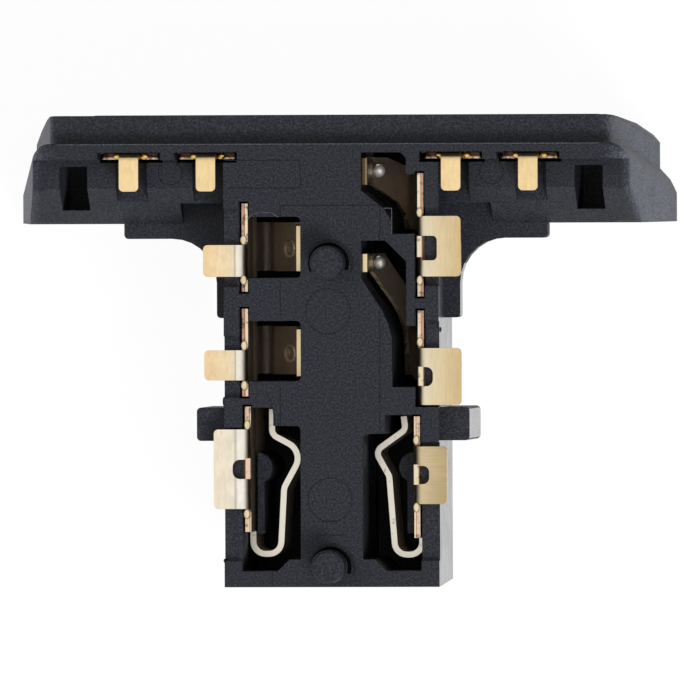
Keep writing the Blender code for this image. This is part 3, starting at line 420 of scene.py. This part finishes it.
def sheared_edge(name, torn, burnished, axis, middle, pits, metallic=1.0):
    """The cut edge of the sheet: a torn band, a thin dark step at its middle and a burnished band.

    The bands change over along an axis, at a place in metres. Nicks are darker where a noise is under pits.
    """
    finish = bpy.data.materials.new(name)
    finish.use_nodes = True
    nodes, links = finish.node_tree.nodes, finish.node_tree.links
    shader = nodes["Principled BSDF"]
    shader.inputs["Metallic"].default_value = metallic
    shader.inputs["Roughness"].default_value = EDGE_ROUGHNESS
    place = nodes.new("ShaderNodeTexCoord")
    axes = nodes.new("ShaderNodeSeparateXYZ")
    across = nodes.new("ShaderNodeMapRange")
    across.inputs["From Min"].default_value = middle - SHEAR_HALF
    across.inputs["From Max"].default_value = middle + SHEAR_HALF
    band = nodes.new("ShaderNodeValToRGB")
    ramp = band.color_ramp.elements
    while len(ramp) < len(BAND_STOPS):
        ramp.new(0.5)
    step = tuple(STEP_SHADE * value for value in torn)
    for element, share, colour in zip(ramp, BAND_STOPS, (torn, step, step, burnished)):
        element.position = share
        element.color = (*colour, 1)
    nicks = nodes.new("ShaderNodeTexNoise")
    nicks.inputs["Scale"].default_value = NICK_SCALE
    nicks.inputs["Detail"].default_value = NICK_DETAIL
    depth = nodes.new("ShaderNodeMapRange")
    depth.inputs["From Min"].default_value = pits
    depth.inputs["From Max"].default_value = pits + NICK_FADE
    depth.inputs["To Min"].default_value = NICK_SHADE
    worn = nodes.new("ShaderNodeVectorMath")
    worn.operation = "SCALE"
    bump = nodes.new("ShaderNodeBump")
    bump.inputs["Strength"].default_value = NICK_STRENGTH
    bump.inputs["Distance"].default_value = NICK_HEIGHT
    links.new(place.outputs["Object"], axes.inputs["Vector"])
    links.new(axes.outputs[axis], across.inputs["Value"])
    links.new(across.outputs["Result"], band.inputs["Fac"])
    links.new(place.outputs["Object"], nicks.inputs["Vector"])
    links.new(nicks.outputs["Fac"], depth.inputs["Value"])
    links.new(band.outputs["Color"], worn.inputs[0])
    links.new(depth.outputs["Result"], worn.inputs["Scale"])
    links.new(worn.outputs["Vector"], shader.inputs["Base Color"])
    links.new(nicks.outputs["Fac"], bump.inputs["Height"])
    links.new(bump.outputs["Normal"], shader.inputs["Normal"])
    return finish


def stamped(node, name, faces, edges, deep, dimple=None):
    """A contact with plated faces and sheared edges: a face is plated where the sheet behind it is thin.

    Deeper than BARE_BELOW the faces and edges take the spring's finishes. The pressed dimple, given by its
    place and radius in millimetres, is polished by the plug, and its near-white finish is a painted highlight.
    """
    piece = welded(node, name, CONTACT_SHARP)
    mesh = piece.data
    for finish in (faces, edges, polished, deep, bare_spring):
        mesh.materials.append(finish)
    tree = BVHTree.FromPolygons([v.co for v in mesh.vertices], [p.vertices for p in mesh.polygons])
    slots = []
    for polygon in mesh.polygons:
        inside = polygon.center - polygon.normal * PROBE_START
        _, _, _, depth = tree.ray_cast(inside, -polygon.normal, PROBE_REACH)
        plated = depth is not None and SHEET_MIN < depth < SHEET_MAX
        shallow = polygon.center.z > BOARD_FACE - BARE_BELOW
        if plated:
            slots.append(PLATED if shallow else SPRUNG)
        else:
            slots.append(SHEARED if shallow else DEEP_SHEARED)
        if plated and dimple and not shallow:
            away = math.hypot(polygon.center.x - dimple[0] / 1000, polygon.center.y - dimple[1] / 1000)
            if away < dimple[2] / 1000:
                slots[-1] = DIMPLED
    mesh.polygons.foreach_set("material_index", slots)
    rounding = piece.modifiers.new("rounding", "BEVEL")
    rounding.width = ROUNDING
    rounding.segments = 2
    rounding.limit_method = "ANGLE"
    rounding.angle_limit = math.radians(ROUNDING_SHARP)
    even_shading(piece)
    return piece


LIP_HALF, LIP_CORNER = 0.11, 0.03


def lip(name, middle, front, rear, top, depth, finish):
    """The end of a leaf turned up on edge: a bar of the sheet's thickness with softened corners.

    Sizes are in millimetres, and the top is given from the board face.
    """
    half, corner = LIP_HALF, LIP_CORNER
    section = np.array([(-half, -depth), (half, -depth), (half, -corner), (half - corner, 0),
                        (corner - half, 0), (-half, -corner)]) + (middle, top)
    ends = [np.column_stack([section[:, 0], np.full(6, y), section[:, 1]]) for y in (front, rear)]
    points = np.concatenate(ends) / 1000 + (0, 0, BOARD_FACE)
    index = np.arange(12).reshape(2, 6)
    quads = np.stack([index[0], np.roll(index[0], -1), np.roll(index[1], -1), index[1]], axis=1)
    mesh = bpy.data.meshes.new(name)
    mesh.from_pydata(points, [], [*quads.tolist(), index[0][::-1].tolist(), index[1].tolist()])
    mesh.materials.append(finish)
    piece = bpy.data.objects.new(name, mesh)
    bpy.context.scene.collection.objects.link(piece)
    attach(piece, "root")


TURN_STEPS, ROLL_STEPS = 32, 8


def dimple_highlight_ring(name, centre, radius, wire, slope, finish):
    """A painted highlight round a pressed dimple: a thin bright torus laid on the leaf's slope, from two
    angles.

    Sizes are in millimetres, and the height is given from the board face.
    """
    turn, roll = np.meshgrid(np.linspace(0, 2 * np.pi, TURN_STEPS + 1)[:-1],
                             np.linspace(0, 2 * np.pi, ROLL_STEPS + 1)[:-1], indexing="ij")
    lean = 1 / math.hypot(1, slope)
    out = radius + wire * np.cos(roll)
    along, beside, rise = out * np.cos(turn), out * np.sin(turn), wire * np.sin(roll)
    shape = np.stack([along * lean - rise * slope * lean, beside, along * slope * lean + rise * lean], axis=2)
    points = (np.array(centre) + shape) / 1000 + (0, 0, BOARD_FACE)
    index = np.arange(TURN_STEPS * ROLL_STEPS).reshape(TURN_STEPS, ROLL_STEPS)
    after = np.roll(index, -1, 0)
    quads = np.stack([index, after, np.roll(after, -1, 1), np.roll(index, -1, 1)], axis=2).reshape(-1, 4)
    mesh = bpy.data.meshes.new(name)
    mesh.from_pydata(points.reshape(-1, 3), [], quads.tolist())
    mesh.shade_smooth()
    mesh.materials.append(finish)
    piece = bpy.data.objects.new(name, mesh)
    bpy.context.scene.collection.objects.link(piece)
    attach(piece, "root")


BEND_HIGHLIGHT_CREAM, PEACH, CREASE_SHADE = (0.91, 0.85, 0.72), (0.93, 0.67, 0.37), (0.50, 0.40, 0.26)
PINK, GILT = (0.64, 0.35, 0.25), (0.93, 0.76, 0.54)
FLOOR, PLATE, SHADE = (0.60, 0.53, 0.46), (0.72, 0.60, 0.47), (0.25, 0.2, 0.15)
DULL, DIMPLE_HIGHLIGHT_WHITE, DIMPLE_HIGHLIGHT_GOLD = (0.34, 0.27, 0.18), (0.95, 0.93, 0.89), (0.95, 0.80, 0.55)
LIP, DARK_LIP = (0.90, 0.70, 0.42), (0.12, 0.08, 0.04)
# The tab ramps paint light and shade across each bend: a pale highlight on the bend, a dark crease line, and
# darker metal beside the blade.
left_tab_gold_painted_bend = gold_flash("left tab gold painted bend light", [
    (3.0, (0.35, 0.29, 0.2)), (3.12, BEND_HIGHLIGHT_CREAM), (3.33, BEND_HIGHLIGHT_CREAM), (3.37, CREASE_SHADE),
    (3.41, (0.86, 0.74, 0.52)), (3.7, (0.90, 0.72, 0.46)), (4.6, PEACH),
], BRUSH_LINES, 0.3)
right_tab_gold_painted_bend = gold_flash("right tab gold painted bend light", [
    (3.2, (0.5, 0.4, 0.26)), (3.4, (0.84, 0.74, 0.54)), (3.9, (0.80, 0.66, 0.42)), (4.9, (0.70, 0.50, 0.24)),
], (26000, 1400, 9000), 0.3)
left_edge = sheared_edge("left sheared edge", PINK, GILT, "X", -0.00306, 0.34)
right_edge = sheared_edge("right sheared edge", GILT, PINK, "X", 0.00330, 0.34)
bare_spring = gold_flash("bare spring", [
    (3.2, FLOOR), (3.4, FLOOR), (3.9, PLATE), (6.1, PLATE), (6.4, SHADE), (7.7, SHADE),
], BRUSH_LINES, 0.66, "Z")
deep_edge = sheared_edge("dull deep edge", DULL, DULL, "X", 0, 0.36, 0.3)
polished = sheared_edge("polished dimple painted highlight", DIMPLE_HIGHLIGHT_WHITE, DIMPLE_HIGHLIGHT_WHITE, "X", 0, 0.2, 0.8)

stamped("ring_contact_left_front", "left_front_contact", left_tab_gold_painted_bend, left_edge, deep_edge)
stamped("ring_contact_left_rear", "left_rear_contact", left_tab_gold_painted_bend, left_edge, deep_edge)
stamped("sleeve_contact_right_front", "right_front_contact", right_tab_gold_painted_bend, right_edge, deep_edge,
        (1.515, 6.44, 0.22))
stamped("ring_contact_right_rear", "right_rear_contact", right_tab_gold_painted_bend, right_edge, deep_edge,
        (1.50, 3.16, 0.21))

lip_gold = gold_flash("lip gold", [(0.9, LIP), (2.1, LIP)], BRUSH_LINES, 0.3)
dimple_highlight_finish = sheared_edge("painted dimple highlight", DIMPLE_HIGHLIGHT_GOLD, DIMPLE_HIGHLIGHT_GOLD, "X", 0, 0.3, 0.2)
# The right front lip is darker on its inner half, towards the plug's axis.
dark_lip_gold = gold_flash("lip gold darker inward", [(0.9, DARK_LIP), (1.3, DARK_LIP), (1.45, LIP)],
                           (20000, 20000, 9000), 0.3)
lip("left_front_lip", -1.30, 4.48, 2.86, -2.35, 0.45, lip_gold)
lip("left_rear_lip", -1.30, 0.76, -0.92, -2.35, 0.45, lip_gold)
lip("right_front_lip", 1.28, 6.92, 5.97, -0.3, 2.3, dark_lip_gold)
lip("right_rear_lip", 1.29, 3.48, 2.84, -0.3, 2.3, lip_gold)

# Round each left dimple a thin bright ring paints the dimple's highlight.
LEAF_SLOPE, DIMPLE_RADIUS, HIGHLIGHT_WIRE = 1.07, 0.28, 0.045
for node, name, y in (("ring_contact_left_front", "left_front_dimple_highlight", 3.66),
                      ("ring_contact_left_rear", "left_rear_dimple_highlight", -0.11)):
    dimple_highlight_ring(name, (-1.67, y, -2.86), DIMPLE_RADIUS, HIGHLIGHT_WIRE, LEAF_SLOPE, dimple_highlight_finish)
# On the right leaves a bright dome over each dimple paints its silvery highlight.
for node, name, x, y in (("sleeve_contact_right_front", "right_front_dimple_highlight", 1.60, 6.46),
                         ("ring_contact_right_rear", "right_rear_dimple_highlight", 1.62, 3.17)):
    nib(name, (x, y, -2.5), (0.23, 0.24, 0.13), polished)


# Tip contacts: two narrow strips stand on edge and bend into a V whose crest meets the plug's tip groove.
# They are stamped like the others, and the sheared edges that face the board are bright and silvery.

SILVER, COPPER, TIP_BEND_HIGHLIGHT_CREAM = (0.92, 0.86, 0.74), (0.84, 0.60, 0.43), (0.95, 0.9, 0.8)
spring_edge = sheared_edge("spring sheared edge", SILVER, SILVER, "X", 0, 0.26)
left_tip_edge = sheared_edge("left tip sheared edge", COPPER, GILT, "X", -0.0029, 0.32)
right_tip_edge = sheared_edge("right tip sheared edge", GILT, COPPER, "X", 0.0031, 0.32)
# The tip tab ramps also paint the bend's light and shade: darker beside the blade, a pale highlight on the
# bend, and on the left a dark crease line.
right_tip_tab_gold_painted_bend = gold_flash("tip tab gold", [
    (3.1, (0.38, 0.30, 0.18)), (3.3, (0.68, 0.55, 0.34)), (4.5, (0.48, 0.35, 0.17)),
], (1400, 26000, 9000), 0.3)
left_tip_tab_gold_painted_bend = gold_flash("left tip tab gold painted bend light", [
    (2.95, (0.5, 0.42, 0.3)), (3.05, TIP_BEND_HIGHLIGHT_CREAM), (3.3, TIP_BEND_HIGHLIGHT_CREAM), (3.38, (0.6, 0.52, 0.4)),
    (3.44, (0.90, 0.82, 0.66)), (4.4, (0.95, 0.80, 0.60)),
], BRUSH_LINES, 0.3)
stamped("tip_contact_left", "left_tip_contact", left_tip_tab_gold_painted_bend, left_tip_edge, spring_edge)
stamped("tip_contact_right", "right_tip_contact", right_tip_tab_gold_painted_bend, right_tip_edge, spring_edge)


# Shear burrs: where each blade meets its tab the punch left a rounded, brightly plated swelling. In the
# holes of the wide tabs the blade's own top edge shows as a bright land.

BURR, BURR_RADII, BURR_HEIGHT = (0.86, 0.70, 0.46), (0.115, 0.18, 0.05), -0.02
LAND_DEPTH = 0.3
burr_gold = gold_flash("burr gold", [(2.9, BURR), (4.0, BURR)], (12000, 5000, 9000), 0.28)
land_gold = sheared_edge("blade land", (0.86, 0.62, 0.44), (0.86, 0.72, 0.52), "X", 0, 0.3)
burrs = [("ring_contact_left_front", -3.06, 4.0), ("ring_contact_left_front", -3.06, 2.56),
         ("ring_contact_left_rear", -3.05, 0.21), ("ring_contact_left_rear", -3.05, -1.22),
         ("sleeve_contact_right_front", 3.29, 4.97), ("sleeve_contact_right_front", 3.29, 2.53),
         ("ring_contact_right_rear", 3.29, 0.32), ("tip_contact_left", -2.95, -2.64),
         ("tip_contact_left", -2.97, -5.84), ("tip_contact_right", 3.14, -3.20),
         ("tip_contact_right", 3.14, -5.62)]
lands = [("sleeve_contact_right_front", 3.283, 4.12, 3.37),
         ("ring_contact_right_rear", 3.32, -0.57, -1.25),
         ("tip_contact_left", -2.93, -3.84, -4.58),
         ("tip_contact_right", 3.14, -4.08, -4.80)]
for number, (node, x, front, rear) in enumerate(lands, 1):
    lip(f"land_{number}", x, front, rear, 0.0, LAND_DEPTH, land_gold)
for number, (node, x, y) in enumerate(burrs, 1):
    nib(f"burr_{number}", (x, y, BURR_HEIGHT), BURR_RADII, burr_gold)


# Port pads: four T-shaped stampings of the same sheet, pressed in behind the port floor, where their wide
# faces stand. Beside each stem a small yellow drop sits on the shoulder.

PAD_MIDDLES = (-7.2, -4.42, 4.42, 7.2)
PAD_TONE, DROP = (0.96, 0.72, 0.38), (0.98, 0.62, 0.2)
PAD_BRIGHT, PAD_DARK, PAD_SPLIT = (0.80, 0.55, 0.36), (0.08, 0.05, 0.03), 0.00697
DROP_Y, DROP_HEIGHT, DROP_RADII = 7.02, -0.70, (0.16, 0.12, 0.07)
pad_gold = gold_flash("port pad gold", [(3.0, PAD_TONE), (8.5, PAD_TONE)], BRUSH_LINES, 0.3)
pad_edge = sheared_edge("pad sheared edge", PAD_BRIGHT, PAD_DARK, "Y", PAD_SPLIT, 0.40)
shoulder_gold = gold_flash("shoulder gold", [(3.0, DROP), (8.5, DROP)], (9000, 9000, 9000), 0.3)
for number, middle in enumerate(PAD_MIDDLES, 1):
    pad_node = f"port_pad_contact_{number}"
    stamped(pad_node, f"port_pad_{number}", pad_gold, pad_edge, pad_edge)
    for label, shift in (("left", -0.47), ("right", 0.50)):
        nib(f"shoulder_drop_{number}_{label}", (middle + shift, DROP_Y, DROP_HEIGHT), DROP_RADII,
            shoulder_gold)


# Stage: a pale floor under the socket, broad soft lamps, and a long lens a little off the board's normal.

PIXEL = 0.00003589
IMAGE_WIDTH = 700
CAMERA_DISTANCE = 1.0
LOOK_AT = Vector((0.00077, 0.00004, BOARD_FACE))
TILT_X, TILT_Y, ROLL = 0.0954, 0.0108, 0.004
SENSOR = 36
FLOOR_TONE, FLOOR_HALF, FLOOR_DROP, FLOOR_GLOW = (0.86, 0.86, 0.87, 1), 1, 0.00002, 0.96
ROOM_LIGHT, DOME_LOW, DOME_TOP, DOME_DARK = 0.38, 0.1, 0.85, 0.25
SOFTBOXES = (("key softbox", (0.12, -0.16, 0.24), 0.12, 1.3),
             ("fill softbox", (-0.18, 0.12, 0.25), 0.16, 0.35))

floor_mesh = bpy.data.meshes.new("floor")
floor_corners = [(-FLOOR_HALF, -FLOOR_HALF, 0), (FLOOR_HALF, -FLOOR_HALF, 0),
                 (FLOOR_HALF, FLOOR_HALF, 0), (-FLOOR_HALF, FLOOR_HALF, 0)]
floor_mesh.from_pydata(floor_corners, [], [(0, 1, 2, 3)])
floor = bpy.data.objects.new("floor", floor_mesh)
floor.location.z = -FLOOR_DROP
bpy.context.scene.collection.objects.link(floor)
floor_paint = bpy.data.materials.new("floor paint")
floor_paint.use_nodes = True
nodes, links = floor_paint.node_tree.nodes, floor_paint.node_tree.links
matt = nodes["Principled BSDF"]
matt.inputs["Base Color"].default_value = FLOOR_TONE
matt.inputs["Roughness"].default_value = 0.9
glow = nodes.new("ShaderNodeEmission")
rays = nodes.new("ShaderNodeLightPath")
seen = nodes.new("ShaderNodeMath")
seen.operation = "MAXIMUM"
share = nodes.new("ShaderNodeMath")
share.operation = "MULTIPLY"
share.inputs[1].default_value = FLOOR_GLOW
blend = nodes.new("ShaderNodeMixShader")
links.new(rays.outputs["Is Camera Ray"], seen.inputs[0])
links.new(rays.outputs["Is Glossy Ray"], seen.inputs[1])
links.new(seen.outputs["Value"], share.inputs[0])
links.new(share.outputs["Value"], blend.inputs["Fac"])
links.new(matt.outputs["BSDF"], blend.inputs[1])
links.new(glow.outputs["Emission"], blend.inputs[2])
links.new(blend.outputs["Shader"], nodes["Material Output"].inputs["Surface"])
floor_mesh.materials.append(floor_paint)

world = bpy.data.worlds.new("studio")
bpy.context.scene.world = world
world.use_nodes = True
nodes, links = world.node_tree.nodes, world.node_tree.links
room = nodes["Background"]
room.inputs["Color"].default_value = (1, 1, 1, 1)
rays = nodes.new("ShaderNodeLightPath")
place = nodes.new("ShaderNodeTexCoord")
axes = nodes.new("ShaderNodeSeparateXYZ")
dome = nodes.new("ShaderNodeMapRange")
dome.inputs["From Min"].default_value = DOME_LOW
dome.inputs["From Max"].default_value = DOME_TOP
dome.inputs["To Min"].default_value = DOME_DARK
dome.inputs["To Max"].default_value = 1.0
level = nodes.new("ShaderNodeMix")
level.inputs["A"].default_value = ROOM_LIGHT
backdrop = nodes.new("ShaderNodeMath")
backdrop.operation = "MAXIMUM"
links.new(place.outputs["Generated"], axes.inputs["Vector"])
links.new(axes.outputs["Z"], dome.inputs["Value"])
links.new(rays.outputs["Is Glossy Ray"], level.inputs["Factor"])
links.new(dome.outputs["Result"], level.inputs["B"])
links.new(level.outputs["Result"], backdrop.inputs[0])
links.new(rays.outputs["Is Camera Ray"], backdrop.inputs[1])
links.new(backdrop.outputs["Value"], room.inputs["Strength"])

for name, place, size, power in SOFTBOXES:
    lamp = bpy.data.lights.new(name, "AREA")
    lamp.size = size
    lamp.energy = power
    holder = bpy.data.objects.new(name, lamp)
    holder.location = place
    holder.rotation_euler = (LOOK_AT - Vector(place)).to_track_quat("-Z", "Y").to_euler()
    holder.visible_glossy = False
    bpy.context.scene.collection.objects.link(holder)

lens = bpy.data.cameras.new("camera")
lens.sensor_width = SENSOR
lens.lens = SENSOR * CAMERA_DISTANCE / (IMAGE_WIDTH * PIXEL)
lens.clip_start = 0.01
lens.clip_end = 10
camera = bpy.data.objects.new("camera", lens)
back = Vector((TILT_X, TILT_Y, 1)).normalized()
across = Vector((0, 1, 0)).cross(back).normalized()
up = back.cross(across)
facing = Matrix((across, up, back)).transposed()
camera.matrix_world = Matrix.Translation(LOOK_AT + back * CAMERA_DISTANCE) @ (
    facing @ Matrix.Rotation(-ROLL, 3, "Z")).to_4x4()
bpy.context.scene.collection.objects.link(camera)
bpy.context.scene.camera = camera
bpy.context.scene.view_settings.view_transform = "Standard"
